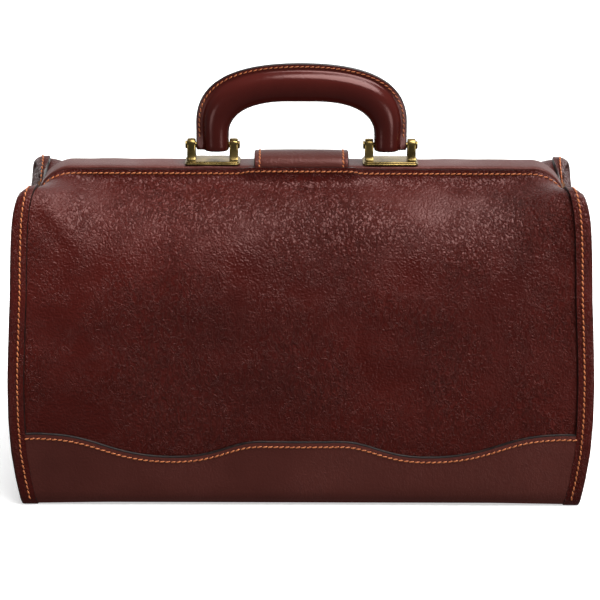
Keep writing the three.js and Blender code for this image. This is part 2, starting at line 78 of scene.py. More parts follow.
class Nodes:
    """A small wrapper that makes and links shader nodes. Texture scales are per metre."""

    def __init__(self, name):
        self.material = bpy.data.materials.new(name)
        self.material.use_nodes = True
        self.tree = self.material.node_tree
        self.shader = self.tree.nodes["Principled BSDF"]
        self.place = self.tree.nodes.new("ShaderNodeTexCoord").outputs["Object"]

    def link(self, a, b):
        self.tree.links.new(a, b)

    def mapped(self, scale=(1, 1, 1), turn=(0, 0, 0)):
        """The object's own coordinates, stretched and turned."""
        n = self.tree.nodes.new("ShaderNodeMapping")
        n.inputs["Scale"].default_value = scale
        n.inputs["Rotation"].default_value = turn
        self.link(self.place, n.inputs["Vector"])
        return n.outputs[0]

    def warped(self, place, scale, amount):
        """A place pushed about by coloured noise."""
        n = self.tree.nodes.new("ShaderNodeTexNoise")
        n.inputs["Scale"].default_value = scale
        n.inputs["Detail"].default_value = 2
        self.link(place, n.inputs["Vector"])
        m = self.tree.nodes.new("ShaderNodeVectorMath")
        m.operation = "MULTIPLY_ADD"
        self.link(n.outputs["Color"], m.inputs[0])
        m.inputs[1].default_value = (amount, amount, amount)
        self.link(place, m.inputs[2])
        return m.outputs[0]

    def noise(self, scale, detail=2, place=None, rough=0.5):
        n = self.tree.nodes.new("ShaderNodeTexNoise")
        n.inputs["Scale"].default_value = scale
        n.inputs["Detail"].default_value = detail
        n.inputs["Roughness"].default_value = rough
        self.link(place or self.place, n.inputs["Vector"])
        return n.outputs["Fac"]

    def cells(self, scale, place=None, feature="F1"):
        n = self.tree.nodes.new("ShaderNodeTexVoronoi")
        n.feature = feature
        n.inputs["Scale"].default_value = scale
        self.link(place or self.place, n.inputs["Vector"])
        return n.outputs["Distance"]

    def span(self, value, low, high, to_low=0.0, to_high=1.0):
        """A value stretched from one range to another, and kept inside it."""
        n = self.tree.nodes.new("ShaderNodeMapRange")
        self.link(value, n.inputs["Value"])
        n.inputs["From Min"].default_value = low
        n.inputs["From Max"].default_value = high
        n.inputs["To Min"].default_value = to_low
        n.inputs["To Max"].default_value = to_high
        return n.outputs["Result"]

    def colour(self, value):
        self.link(value, self.shader.inputs["Base Color"])

    def roughness(self, value):
        self.link(value, self.shader.inputs["Roughness"])

    def math(self, kind, a, b):
        n = self.tree.nodes.new("ShaderNodeMath")
        n.operation = kind
        for k, v in enumerate((a, b)):
            if isinstance(v, (int, float)):
                n.inputs[k].default_value = v
            else:
                self.link(v, n.inputs[k])
        return n.outputs[0]

    def blend(self, factor, a, b):
        n = self.tree.nodes.new("ShaderNodeMix")
        n.data_type = "RGBA"
        self.link(factor, n.inputs[0])
        for socket, v in ((n.inputs[6], a), (n.inputs[7], b)):
            if isinstance(v, tuple):
                socket.default_value = (*v, 1)
            else:
                self.link(v, socket)
        return n.outputs[2]

    def bump(self, height, strength, distance):
        n = self.tree.nodes.new("ShaderNodeBump")
        n.inputs["Strength"].default_value = strength
        n.inputs["Distance"].default_value = distance
        self.link(height, n.inputs["Height"])
        self.link(n.outputs[0], self.shader.inputs["Normal"])

    def set(self, **values):
        for name, value in values.items():
            self.shader.inputs[name.replace("_", " ")].default_value = value


def linear(r, g, b):
    """An sRGB colour from 0 to 255 as linear light."""
    out = []
    for c in (r, g, b):
        c = c / 255
        out.append(c / 12.92 if c <= 0.04045 else ((c + 0.055) / 1.055) ** 2.4)
    return tuple(out)


# ---------- materials ----------

def leather(name, shades, grain, rough, wrinkled, gloss):
    """Leather with fine pebbling all over and thin wrinkle lines gathered in patches. The lines' pale tint
    is a painted highlight, and the darker hollows between streaks are painted shade.
    """
    deep, full, pale = (linear(*shade) for shade in shades)
    n = Nodes(name)
    place = n.warped(n.mapped(), 150, 0.0028)
    fine = n.span(n.cells(680, place, "SMOOTH_F1"), 0.1, 0.75, 1.0, 0.0)
    slanted = n.mapped((1.35, 1, 0.62), (0, 0.72, 0.3))
    flow = n.warped(slanted, 60, 0.008)
    waves = n.noise(270, 3, flow, 0.6)
    off_centre = n.math("ABSOLUTE", n.math("SUBTRACT", waves, 0.5), 0)
    lines = n.span(off_centre, 0.0, 0.06, 1.0, 0.0)
    streaks = n.noise(190, 4, slanted, 0.6)
    patches = n.span(n.noise(17, 3), 0.38, 0.62, 0.0, wrinkled)
    tone = n.noise(8, 4, rough=0.6)

    wrinkles = n.math("ADD", n.math("MULTIPLY", lines, 0.8), streaks)
    wrinkles = n.math("MULTIPLY", wrinkles, patches)
    height = n.math("ADD", n.math("MULTIPLY", fine, 0.3), wrinkles)
    n.bump(height, min(1.0, grain), 0.00095 * grain)

    colour = n.blend(n.span(tone, 0.3, 0.7), deep, full)
    # the wrinkle lines are tinted pale: a painted highlight on their ridges
    ridge_highlight = n.math("MULTIPLY", n.math("MULTIPLY", lines, patches), 0.18)
    colour = n.blend(ridge_highlight, colour, pale)
    # the streaks' low spots darken towards half the deep shade: painted shade in the hollows
    low_spots = n.span(streaks, 0.3, 0.55, 1.0, 0.0)
    hollow_shade = n.math("MULTIPLY", low_spots, n.math("MULTIPLY", patches, 0.4))
    n.colour(n.blend(hollow_shade, colour, tuple(0.5 * c for c in deep)))
    n.roughness(n.span(n.noise(38, 3), 0.3, 0.7, *rough))
    n.set(IOR=1.45, Specular_IOR_Level=gloss, Specular_Tint=(1.0, 0.6, 0.56, 1.0))
    return n.material


wall_leather = leather(
    "wall_leather", ((64, 16, 12), (88, 25, 19), (136, 68, 58)),
    grain=1.0, rough=(0.27, 0.4), wrinkled=1.0, gloss=0.46,
)
# the trim's own leather, made paler and greyer than the walls: partly painted light, for the sheen on the
# frame band and strap and the light the low overlays catch
trim_leather = leather(
    "trim_leather", ((80, 38, 33), (100, 50, 44), (122, 68, 60)),
    grain=0.6, rough=(0.3, 0.44), wrinkled=0.4, gloss=0.4,
)
handle_leather = leather(
    "handle_leather", ((66, 20, 17), (86, 29, 24), (108, 44, 38)),
    grain=0.3, rough=(0.16, 0.25), wrinkled=0.25, gloss=0.62,
)


def edge_paint():
    """Raw leather edge sealed with dark paint."""
    n = Nodes("edge_paint")
    worn = n.span(n.noise(240, 3), 0.45, 0.75)
    n.colour(n.blend(worn, linear(22, 12, 10), linear(52, 28, 22)))
    n.roughness(n.span(n.noise(400, 2), 0.3, 0.7, 0.32, 0.5))
    n.bump(n.noise(900, 3), 0.25, 0.0002)
    return n.material


def thread():
    """Waxed tan thread, its two plies twisting along each stitch."""
    n = Nodes("thread")
    plies = n.cells(1300, n.mapped((1, 1, 1), (0.5, 0.6, 0.4)), "F1")
    shade = n.span(plies, 0.2, 0.7)
    n.colour(n.blend(shade, linear(236, 146, 88), linear(186, 98, 54)))
    n.roughness(n.span(n.noise(300, 2), 0.3, 0.7, 0.45, 0.65))
    n.bump(plies, 0.4, 0.0002)
    return n.material


def suede():
    """Flesh side of the leather, seen inside the bag."""
    n = Nodes("flesh_side")
    fibres = n.noise(700, 4, n.mapped((1, 1, 0.5), (0.3, 0.5, 0)), 0.7)
    n.colour(n.blend(fibres, linear(120, 82, 58), linear(158, 116, 84)))
    n.roughness(n.span(n.noise(60, 2), 0.3, 0.7, 0.8, 0.95))
    n.bump(fibres, 0.5, 0.0004)
    return n.material


def woven():
    """Plain-woven cotton lining: crossing threads about half a millimetre apart."""
    n = Nodes("lining_cloth")
    dark, light = linear(112, 84, 56), linear(158, 126, 88)
    heights = []
    for direction in ("X", "Z"):
        wave = n.tree.nodes.new("ShaderNodeTexWave")
        wave.wave_type = "BANDS"
        wave.bands_direction = direction
        wave.inputs["Scale"].default_value = 330
        wave.inputs["Distortion"].default_value = 0.6
        n.link(n.place, wave.inputs["Vector"])
        heights.append(wave.outputs["Fac"])
    weave = n.math("MULTIPLY", heights[0], heights[1])
    slub = n.noise(120, 3, n.mapped((0.2, 1, 1)))
    shade = n.math("ADD", n.math("MULTIPLY", weave, 0.6), n.math("MULTIPLY", slub, 0.4))
    n.colour(n.blend(shade, dark, light))
    n.roughness(n.span(slub, 0.3, 0.7, 0.82, 0.94))
    n.bump(weave, 0.5, 0.0003)
    return n.material


def fibre_board():
    """Pressed board with lengthwise flecks."""
    n = Nodes("fibre_board")
    flecks = n.noise(420, 5, n.mapped((1, 0.3, 1)), 0.7)
    n.colour(n.blend(flecks, linear(82, 66, 48), linear(128, 106, 80)))
    n.roughness(n.span(flecks, 0.3, 0.7, 0.8, 0.92))
    n.bump(flecks, 0.3, 0.0003)
    return n.material


def steel():
    """Brushed steel with faint stains."""
    n = Nodes("frame_steel")
    brush = n.noise(900, 3, n.mapped((0.05, 1, 1)))
    stain = n.noise(60, 4)
    n.colour(n.blend(stain, linear(118, 120, 122), linear(158, 160, 162)))
    n.roughness(n.span(stain, 0.3, 0.7, 0.28, 0.48))
    n.bump(brush, 0.12, 0.0001)
    n.set(Metallic=1.0)
    return n.material


def antique_brass():
    """Brass darkened in soft patches and rubbed bright elsewhere."""
    n = Nodes("antique_brass")
    patina = n.span(n.noise(95, 3), 0.35, 0.7)
    colour = n.blend(patina, linear(164, 140, 86), linear(110, 92, 54))
    specks = n.span(n.noise(420, 3), 0.62, 0.85)
    n.colour(n.blend(specks, colour, linear(96, 82, 52)))
    n.roughness(n.span(n.noise(160, 3), 0.3, 0.7, 0.2, 0.34))
    n.bump(n.noise(700, 2), 0.05, 0.0001)
    n.set(Metallic=1.0)
    return n.material


edge_dark = edge_paint()
tan_thread = thread()
flesh_side = suede()
lining_cloth = woven()
board_fibre = fibre_board()
bare_steel = steel()
brass = antique_brass()


# ---------- mesh helpers ----------

def smooth(t):
    """A soft step from 0 to 1."""
    t = np.clip(t, 0, 1)
    return t * t * (3 - 2 * t)


def resample(line, count):
    """Evenly spaced points along a line of points."""
    step = np.linalg.norm(np.diff(line, axis=0), axis=1)
    along = np.concatenate([[0], np.cumsum(step)])
    where = np.linspace(0, along[-1], count)
    return np.stack([np.interp(where, along, line[:, k]) for k in range(line.shape[1])], 1)


def spline(points, count):
    """Evenly spaced points on a smooth curve through the given ones."""
    p = np.array(points, float)
    ends = np.vstack([2 * p[0] - p[1], p, 2 * p[-1] - p[-2]])
    fine = []
    for i in range(1, len(ends) - 2):
        a, b, c, d = ends[i - 1 : i + 3]
        for t in np.linspace(0, 1, 24, endpoint=False):
            square = (2 * a - 5 * b + 4 * c - d) * t**2
            cube = (3 * b - a - 3 * c + d) * t**3
            fine.append(0.5 * (2 * b + (c - a) * t + square + cube))
    fine.append(p[-1])
    return resample(np.array(fine), count)


def bezier(a, b, c, d, count):
    t = np.linspace(0, 1, count)[:, None]
    a, b, c, d = (np.array(p, float) for p in (a, b, c, d))
    return (1 - t) ** 3 * a + 3 * (1 - t) ** 2 * t * b + 3 * (1 - t) * t**2 * c + t**3 * d


def unit(v):
    return v / np.maximum(np.linalg.norm(v, axis=-1, keepdims=True), 1e-9)


def grid_normals(grid, outward):
    """Normals of a grid of points, turned to the side that outward points to."""
    n = unit(np.cross(np.gradient(grid, axis=0), np.gradient(grid, axis=1)))
    flip = np.sign(np.sum(n * np.array(outward, float), axis=-1, keepdims=True))
    return n * np.where(flip == 0, 1, flip)


def make_object(name, points, faces, materials, slots=None, sharp=40):
    """A mesh object from points in millimetres, normals made to face out."""
    mesh = bpy.data.meshes.new(name)
    mesh.from_pydata([tuple(p) for p in np.asarray(points) * MM], [], faces)
    for m in materials:
        mesh.materials.append(m)
    if slots is not None:
        mesh.polygons.foreach_set("material_index", slots)
    work = bmesh.new()
    work.from_mesh(mesh)
    bmesh.ops.recalc_face_normals(work, faces=work.faces)
    for face in work.faces:
        face.smooth = True
    work.to_mesh(mesh)
    work.free()
    mesh.set_sharp_from_angle(angle=math.radians(sharp))
    obj = bpy.data.objects.new(name, mesh)
    bpy.context.scene.collection.objects.link(obj)
    return obj


def shell(name, outer, inner, materials, edge_faces=None):
    """A sheet with thickness between two grids. Materials: outer face, inner face, rim."""
    n, m = outer.shape[:2]
    far = n * m
    faces, slots = [], []
    for i in range(n - 1):
        for j in range(m - 1):
            a, b, c, d = i * m + j, (i + 1) * m + j, (i + 1) * m + j + 1, i * m + j + 1
            faces.append((a, b, c, d))
            slots.append(2 if edge_faces is not None and edge_faces(i, j) else 0)
            faces.append((far + a, far + d, far + c, far + b))
            slots.append(1)
    rim = [(i, 0) for i in range(n)] + [(n - 1, j) for j in range(1, m)]
    rim += [(i, m - 1) for i in range(n - 2, -1, -1)] + [(0, j) for j in range(m - 2, 0, -1)]
    for (i, j), (k, l) in zip(rim, rim[1:] + rim[:1]):
        faces.append((i * m + j, k * m + l, far + k * m + l, far + i * m + j))
        slots.append(2)
    points = np.concatenate([outer.reshape(-1, 3), inner.reshape(-1, 3)])
    return make_object(name, points, faces, materials, slots)


def tube(name, rings, materials, side_slot=None, cap_slot=0, sharp=40):
    """Closed rings of points joined into one body, with flat caps."""
    n, k = rings.shape[:2]
    faces, slots = [], []
    for i in range(n - 1):
        for j in range(k):
            l = (j + 1) % k
            faces.append((i * k + j, (i + 1) * k + j, (i + 1) * k + l, i * k + l))
            slots.append(side_slot(i, j) if side_slot else 0)
    faces.append(tuple(range(k)))
    faces.append(tuple((n - 1) * k + j for j in reversed(range(k))))
    slots += [cap_slot, cap_slot]
    return make_object(name, rings.reshape(-1, 3), faces, materials, slots, sharp)


STITCH_RINGS = ((-1, 0.25, -0.15), (-0.72, 0.8, 0.16), (0, 1, 0.3), (0.72, 0.8, 0.16), (1, 0.25, -0.15))
HOLE_SHADE_RINGS = ((0.42, -0.25), (0.36, 0.05), (0.2, 0.07))
SIX = [q * math.pi / 3 for q in range(6)]


def close_rings(faces, slots, start, count, slot):
    """Faces of a small body made of six-sided rings, whose points begin at start."""
    for i in range(count - 1):
        low, high = start + i * 6, start + (i + 1) * 6
        for q in range(6):
            r = (q + 1) % 6
            faces.append((low + q, high + q, high + r, low + r))
            slots.append(slot)
    faces.append(tuple(start + q for q in range(6)))
    faces.append(tuple(start + (count - 1) * 6 + q for q in reversed(range(6))))
    slots += [slot, slot]


def stitch_run(name, line, normals, pitch=3.9, length=3.7, width=0.6, slant=13):
    """A row of separate slanted stitches along a line on a surface, with dark discs at their needle holes:
    painted shade for the holes' depth.
    """
    total = np.linalg.norm(np.diff(line, axis=0), axis=1).sum()
    count = max(2, int(total / pitch))
    # the even places are the needle holes, the odd ones are the middles of the stitches
    both = resample(np.concatenate([line, normals], axis=1), 2 * count + 1)
    half = length * (total / count / pitch) / 2
    turn = math.radians(slant)
    points, faces, slots = [], [], []
    for s in range(count):
        here = both[2 * s + 1, :3]
        up = unit(both[2 * s + 1, 3:])
        ahead = unit(both[2 * s + 2, :3] - both[2 * s, :3])
        side = unit(np.cross(up, ahead))
        axis = ahead * math.cos(turn) + side * math.sin(turn)
        across = unit(np.cross(up, axis))
        start = len(points)
        for t, size, lift in STITCH_RINGS:
            for a in SIX:
                ring = across * math.cos(a) * width + up * math.sin(a) * width * 0.75
                points.append(here + axis * half * t + up * lift + ring * size)
        close_rings(faces, slots, start, len(STITCH_RINGS), 0)
    # dark discs at the needle holes: painted shade in place of the holes' depth
    for s in range(count + 1):
        here, up = both[2 * s, :3], unit(both[2 * s, 3:])
        ahead = unit(both[min(2 * s + 1, 2 * count), :3] - both[max(2 * s - 1, 0), :3])
        side = unit(np.cross(up, ahead))
        start = len(points)
        for size, lift in HOLE_SHADE_RINGS:
            for a in SIX:
                points.append(here + (ahead * math.cos(a) + side * math.sin(a)) * size + up * lift)
        close_rings(faces, slots, start, len(HOLE_SHADE_RINGS), 1)
    return make_object(name, points, faces, [tan_thread, edge_dark], slots, 60)


HALVES = {-1: ("rear", "rear_frame"), 1: ("front", "front_frame")}  # by the side of Y they are on


def with_frame(piece):
    """Bake the piece's placement into its mesh; nothing ties it to the frame."""
    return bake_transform(piece)


# ---------- shape of the bag's skin ----------

ROWS_LOW, ROWS_UP, COLUMNS = 30, 30, 101
FOLD_HEIGHT = 148
FRAME_HALF, FRAME_TOP, FRAME_RADIUS = 191, 227, 26
HEM_INSET = 1.8
HEM_RADIUS = FRAME_RADIUS - HEM_INSET
HEM_STRAIGHT = FRAME_HALF - FRAME_RADIUS
HEM_DOWN_ARM = 5.5
HEM_LENGTH = HEM_STRAIGHT + HEM_RADIUS * math.pi / 2 + HEM_DOWN_ARM  # from the middle to one end
HEM_DEPTH = 14.2

# the long walls in the middle of the bag: how far out (Y) and how high (Z), from the base to the hem
profile = spline(
    [
        (95.4, 0.7), (97.4, 3.2), (98.2, 9), (98.3, 20), (97, 60), (92.3, 100), (88.05, 120),
        (83.8, 140), (79, 154), (68, 176), (54, 194), (38, 206.5), (25, 213.4), (17.6, 217.6),
        (14.8, 221), (HEM_DEPTH, 225.2),
    ],
    900,
)
split = int(np.argmax(profile[:, 1] >= FOLD_HEIGHT))
profile_low = resample(profile[: split + 1], ROWS_LOW)
profile_up = resample(profile[split:], ROWS_UP)

# heights of the corner seams, and how far out (X) the seams are there
END_X = ([0, 3, 20, 40, 64, 90, 118, 148], [196.9, 197.4, 200.4, 203, 204.2, 204.2, 203.2, 201.9])


def hem_at(along):
    """Point (x, z) of the hem at a distance from the middle of the frame's top."""
    turn = min(max(0.0, along - HEM_STRAIGHT) / HEM_RADIUS, math.pi / 2)
    down = max(0.0, along - HEM_STRAIGHT - HEM_RADIUS * math.pi / 2)
    x = min(along, HEM_STRAIGHT) + HEM_RADIUS * math.sin(turn)
    return x, FRAME_TOP - FRAME_RADIUS + HEM_RADIUS * math.cos(turn) - down


# the corner seam: straight up the corner, round the raised ear and in to the hem's end
hem_end = hem_at(HEM_LENGTH)
seam_low = np.column_stack([np.interp(profile_low[:, 1], *END_X), profile_low])
seam_up = spline(
    [
        (201.9, profile_up[0, 0], FOLD_HEIGHT), (201.9, 75.5, 163.5), (201.8, 69.3, 179),
        (201.3, 61.2, 197), (199.8, 54.6, 208.6), (197.8, 49, 214.2), (195.4, 42, 214.6),
        (192.4, 30, 208.2), (hem_end[0], HEM_DEPTH, hem_end[1]),
    ],
    ROWS_UP,
)
seam = np.vstack([seam_low, seam_up[1:]])
rows = np.vstack([profile_low, profile_up[1:]])
upper = np.concatenate([np.zeros(ROWS_LOW - 1), np.linspace(0, 1, ROWS_UP)])
ROWS = len(rows)


def dents(x, z):
    """Shallow hollows and swells of slack leather."""
    slow = np.sin(x / 27 + 1.3 + np.sin(z / 29)) * np.sin(z / 21 + 0.8 * np.sin(x / 44))
    fast = np.sin(x / 12.5 + z / 16 + 0.6) * np.sin(z / 12.5 - x / 31)
    return 0.55 * slow + 0.22 * fast


def ear_creases(x, z):
    """Soft folds that run in and down from the top corners."""
    x = np.abs(x)
    along = (190 - x) * 0.66 + (206 - z) * 0.75
    off = (190 - x) * 0.75 - (206 - z) * 0.66
    first = -1.3 * np.exp(-((off / 4.5) ** 2)) + 0.8 * np.exp(-(((off - 9) / 6) ** 2))
    second = -0.7 * np.exp(-(((off - 20) / 5) ** 2)) * smooth((along - 6) / 10)
    return (first + second) * smooth((along - 1) / 8) * smooth((46 - along) / 22)


def smooth_wall():
    """Outer face of a long wall without its slack, on the +Y side: rows go up, columns run along X."""
    u = np.linspace(-1, 1, COLUMNS)
    ends = smooth((np.abs(u) - 0.68) / 0.32) ** 1.25
    hem = np.array([hem_at(abs(k) * HEM_LENGTH) for k in u])
    hem = np.column_stack([np.sign(u) * hem[:, 0], np.full(COLUMNS, HEM_DEPTH), hem[:, 1]])

    def straight(i):
        return np.column_stack([u * seam[i, 0], np.full(COLUMNS, rows[i, 0]), np.full(COLUMNS, rows[i, 1])])

    last = straight(-1)
    overlap = np.array([0, 0, hem[-1, 2] - last[-1, 2]])
    grid = np.zeros((ROWS, COLUMNS, 3))
    for i in range(ROWS):
        line = straight(i)
        pull = upper[i] ** 2.0
        corner = np.array([0, seam[i, 1] - rows[i, 0], seam[i, 2] - rows[i, 1]])
        grid[i] = line + (hem - last) * pull + (corner - overlap * pull) * ends[:, None]
        grid[i, :, 0] = line[:, 0] + (hem[:, 0] - last[:, 0]) * pull
    bow = 2.0 * (1 - u**2)[None, :] * np.clip(1 - grid[:, :, 2] / 34, 0, 1)
    grid[:, :, 2] += bow
    slack = smooth((grid[:, :, 2] - 58) / 30) * smooth((1 - np.abs(u)) / 0.14)[None, :]
    return grid, slack * smooth((1 - upper) / 0.28)[:, None]


def wall_grid(side):
    """Outer face of one long wall with its slack, folds and hem, and the face's normals."""
    grid, slack = smooth_wall()
    grid[:, :, 1] *= side
    outward = grid_normals(grid, (0, 0.6 * side, 0.8))
    grid += outward * (slack * dents(grid[:, :, 0] + 70 * side, grid[:, :, 2]))[:, :, None]
    grid += outward * ear_creases(grid[:, :, 0], grid[:, :, 2])[:, :, None]
    if side < 0:  # the hem rides up over the end of the closing strap
        hump = smooth((45 - np.abs(grid[:, :, 0])) / 9)
        grid[:, :, 1] -= 3.4 * hump * smooth((upper - 0.88) / 0.09)[:, None]
        grid[:, :, 2] += 2.4 * hump * smooth((upper - 0.86) / 0.14)[:, None]
    return grid, grid_normals(grid, (0, 0.6 * side, 0.8))


walls = {side: wall_grid(side) for side in (-1, 1)}


# ---------- long walls, linings and pocket ----------

WALL_THICKNESS = 1.9
HEM_STITCH = 3.0  # distance of the hem's stitches from its edge


def hem_line(grid, side):
    """The line of the hem's stitches below the top row, and its normals."""
    line = np.zeros((COLUMNS, 3))
    for j in range(COLUMNS):
        column = grid[::-1, j]
        along = np.concatenate([[0], np.cumsum(np.linalg.norm(np.diff(column, axis=0), axis=1))])
        line[j] = [np.interp(HEM_STITCH, along, column[:, k]) for k in range(3)]
    ahead = unit(np.gradient(line, axis=0))
    up = np.zeros_like(line)
    up[:, 1] = side
    return line, unit(up - ahead * np.sum(up * ahead, axis=1, keepdims=True))


def long_wall(side):
    name = HALVES[side][0]
    grid, normal = walls[side]
    inside = grid - normal * WALL_THICKNESS
    piece = shell(f"{name}_wall_leather", grid, inside, [wall_leather, flesh_side, edge_dark])
    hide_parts(f"{name}_panel", f"{name}_panel_top")
    with_frame(piece)
    line, up = hem_line(grid, side)
    stitches = stitch_run(f"{name}_hem_stitches", line + up * 0.1, up)
    with_frame(stitches)


def wall_lining(side):
    name = HALVES[side][0]
    grid, normal = walls[side]
    inside = grid - normal * 2.3
    keep_rows = (inside[:, 0, 2] > 0) & (upper < 0.93)
    part = inside[:, 3:-3][keep_rows]
    out = normal[:, 3:-3][keep_rows]
    part[:, :, 2] = np.maximum(part[:, :, 2], 6.4)
    piece = shell(f"{name}_lining_cloth", part, part - out * 0.8, [lining_cloth] * 3)
    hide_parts(f"{name}_lining", f"{name}_lining_top")
    with_frame(piece)


def wall_depth(z):
    """How far out (Y) the long walls are at a height below the fold."""
    return np.interp(z, rows[:ROWS_LOW, 1], rows[:ROWS_LOW, 0])


POCKET_HALF, POCKET_LOW, POCKET_HIGH = 85, 56, 130
POCKET_SEAM = [(-83, 128), (-83, 60), (83, 60), (83, 128)]


def inner_pocket():
    """A patch pocket on the rear lining, a little open at the top."""
    x = np.linspace(-POCKET_HALF, POCKET_HALF, 35)
    z = np.linspace(POCKET_LOW, POCKET_HIGH, 16)
    gape = smooth((z - 70) / 60)[:, None] * (1 - (x / POCKET_HALF) ** 4)[None, :]
    y = wall_depth(z)[:, None] - 4.2 - 1.6 * gape
    grid = np.stack([np.tile(x, (len(z), 1)), -y, np.tile(z[:, None], (1, len(x)))], axis=2)
    back = grid - np.array([0, 1, 0]) * 1.0
    piece = shell("pocket_cloth", grid, back, [lining_cloth, lining_cloth, edge_dark])
    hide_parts("inner_pocket")
    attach(piece, "bag_body")
    seam_line = resample(np.array([(x, 4.2 - wall_depth(z), z) for x, z in POCKET_SEAM], float), 90)
    seam_line[:, 1] = 4.4 - wall_depth(seam_line[:, 2])
    stitches = stitch_run("pocket_stitches", seam_line, np.tile([0.0, 1.0, 0.0], (90, 1)), slant=0)
    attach(stitches, "bag_body")


for side in (-1, 1):
    long_wall(side)
    wall_lining(side)
inner_pocket()


# ---------- end walls with their lapped edges ----------

LAP = 9.8  # how far the end leather laps over a long wall
LAP_STITCH = 5.0  # distance of its stitches from the corner seam
LAP_LAYERS = ((LAP, 1.3), (LAP - 0.55, 2.1), (LAP_STITCH, 2.2), (2.4, 2.25))  # (distance, height)
# round the corner: outward and upward offsets of the outer face, then of the inner face
CORNER_LAYERS = ((0, 2.2, 0, 0.2), (1.3, 1.75, 0.2, 0.15), (2.15, 0.6, 0.3, -0.2), (2.4, -1.2, 0.35, -1.2))
TUCKED_X = 193.7  # where the folds of an end wall meet in the middle, near the frame's arm
FOLD_TOP = 195
FOLD_COLUMNS = 16


def edge_point(grid, normal, end, inset):
    """Points a given distance in from the end column of a wall, row by row, and their normals."""
    points, ups = np.zeros((ROWS, 3)), np.zeros((ROWS, 3))
    for i in range(ROWS):
        line = grid[i] if end < 0 else grid[i, ::-1]
        turn = normal[i] if end < 0 else normal[i, ::-1]
        line, turn = line[:10], turn[:10]
        along = np.concatenate([[0], np.cumsum(np.linalg.norm(np.diff(line, axis=0), axis=1))])
        points[i] = [np.interp(inset, along, line[:, k]) for k in range(3)]
        ups[i] = [np.interp(inset, along, turn[:, k]) for k in range(3)]
    return points, unit(ups)


def lapped_edge(grid, normal, end):
    """Outer and inner lines of the strip that laps over the long wall and turns round the corner."""
    edge, up = edge_point(grid, normal, end, 0)
    near, _ = edge_point(grid, normal, end, 3)
    out = unit(edge - near)
    outer, inner = [], []
    for inset, lift in LAP_LAYERS:
        point, tilt = edge_point(grid, normal, end, inset)
        outer.append(point + tilt * lift)
        inner.append(point + tilt * 0.2)
    for o, n, a, b in CORNER_LAYERS:
        outer.append(edge + out * o + up * n)
        inner.append(edge + out * a + up * b)
    return outer, inner, edge + out * 2.4 - up * 3.0


def end_face(start, end, side):
    """Half of an end wall, from the corner to the middle: flat below, tucked in towards the frame above."""
    height = np.where(upper > 0, FOLD_HEIGHT + upper * (FOLD_TOP - FOLD_HEIGHT), start[:, 2])
    hug = smooth((height - 112) / 62)
    middle = np.column_stack([
        end * ((np.abs(start[:, 0]) + 0.9) * (1 - hug) + TUCKED_X * hug),
        side * 0.3 * (upper > 0),
        height,
    ])
    face = []
    for w in np.linspace(0, 1, FOLD_COLUMNS):
        point = start + (middle - start) * w
        tuck = smooth((w - 0.18) / 0.62)
        point[:, 0] = start[:, 0] + (middle[:, 0] - start[:, 0]) * (tuck * hug + w * (1 - hug))
        ripple = 0.7 * np.sin(point[:, 2] / 17 + 2 * end) * np.sin(np.pi * w) ** 2
        point[:, 0] += end * ripple * (1 - hug)
        face.append(point)
    return np.stack(face, axis=1)


def end_wall(end, side):
    grid, normal = walls[side]
    outer, inner, start = lapped_edge(grid, normal, end)
    face = end_face(start, end, side)
    tilt = grid_normals(face, (end, 0, 0))
    outer = np.concatenate([np.stack(outer, axis=1), face], axis=1)
    inner = np.concatenate([np.stack(inner, axis=1), face - tilt * 1.7], axis=1)
    for skin in (outer, inner):  # nothing reaches below the table
        skin[:, :, 2] = np.maximum(skin[:, :, 2], 0.05)
    ending = "left" if end < 0 else "right"
    name = f"{ending}_gusset_{HALVES[side][0]}"
    piece = shell(
        f"{name}_leather", outer, inner, [wall_leather, flesh_side, edge_dark], lambda i, j: j == 0
    )
    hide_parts(f"gusset_{ending}", f"gusset_{ending}_{HALVES[side][0]}_fold")
    with_frame(piece)
    line, tip = edge_point(grid, normal, end, LAP_STITCH)
    line = line + tip * 2.3
    keep = slice(1, ROWS - 2)
    stitches = stitch_run(f"{name}_stitches", line[keep], tip[keep])
    with_frame(stitches)


def end_lining(end):
    name = "left_lining" if end < 0 else "right_lining"
    z = np.linspace(6.4, 145, 24)
    across = np.linspace(-1, 1, 25)
    grid = np.zeros((len(z), len(across), 3))
    grid[:, :, 0] = end * (np.interp(z, *END_X) - 3.4)[:, None]
    grid[:, :, 1] = (wall_depth(z) - 5.2)[:, None] * across[None, :]
    grid[:, :, 2] = z[:, None]
    back = grid - np.array([end * 0.8, 0, 0])
    piece = shell(f"{name}_cloth", grid, back, [lining_cloth] * 3)
    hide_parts(name)
    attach(piece, "bag_body")


for end in (-1, 1):
    for side in (-1, 1):
        end_wall(end, side)
    end_lining(end)


# ---------- scalloped overlays along the base ----------

def scallop():
    """Height of the overlay's top edge over X, for one half."""
    parts = [
        bezier((28, 49.3), (50, 49.3), (58, 37.8), (90, 37.8), 30),
        bezier((90, 37.8), (132, 37.8), (142, 51.5), (172, 54.2), 30),
    ]
    line = np.vstack([[[0, 49.0]], *parts, [[184, 55.0], [197, 54.8]]])
    return line[:, 0], line[:, 1]


def overlay_end(z):
    """Half length of the overlay at a height, so that it ends just under the lapped edge."""
    return np.interp(z, *END_X) - LAP + 1.6


